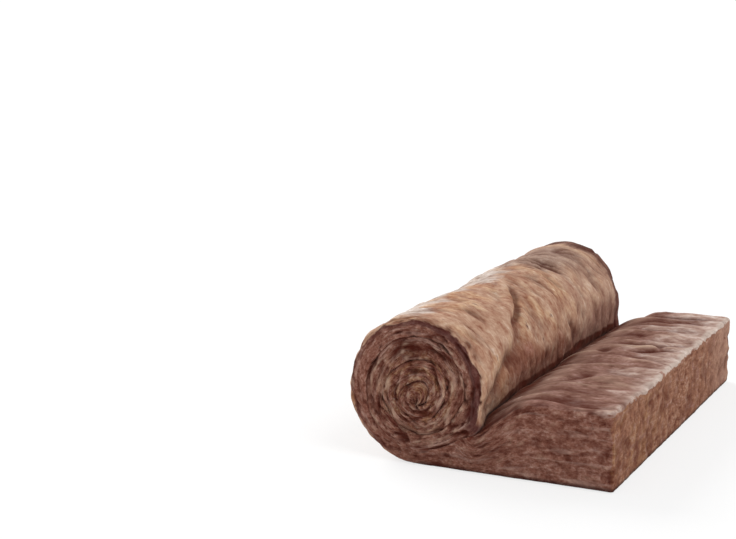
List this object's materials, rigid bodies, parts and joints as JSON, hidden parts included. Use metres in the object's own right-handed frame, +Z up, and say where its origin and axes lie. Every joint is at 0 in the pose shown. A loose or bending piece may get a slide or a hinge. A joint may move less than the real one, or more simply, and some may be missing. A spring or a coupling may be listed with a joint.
{
  "type": "insulation roll",
  "caption": "Glass mineral wool blanket wound into a roll, with its leading length unrolled flat on the floor and sprung back to full thickness.",
  "frame": {"origin": "middle of the footprint, on the floor", "axes": "+X along the unrolled length towards its free end, +Y along the roll's axis, +Z up"},
  "size_m": [0.354, 0.57, 0.192],
  "materials": {
    "glass_wool": "matte, fibrous"
  },
  "bodies": {
    "root": {"wool_blanket": "glass_wool"}
  },
  "joints": []
}
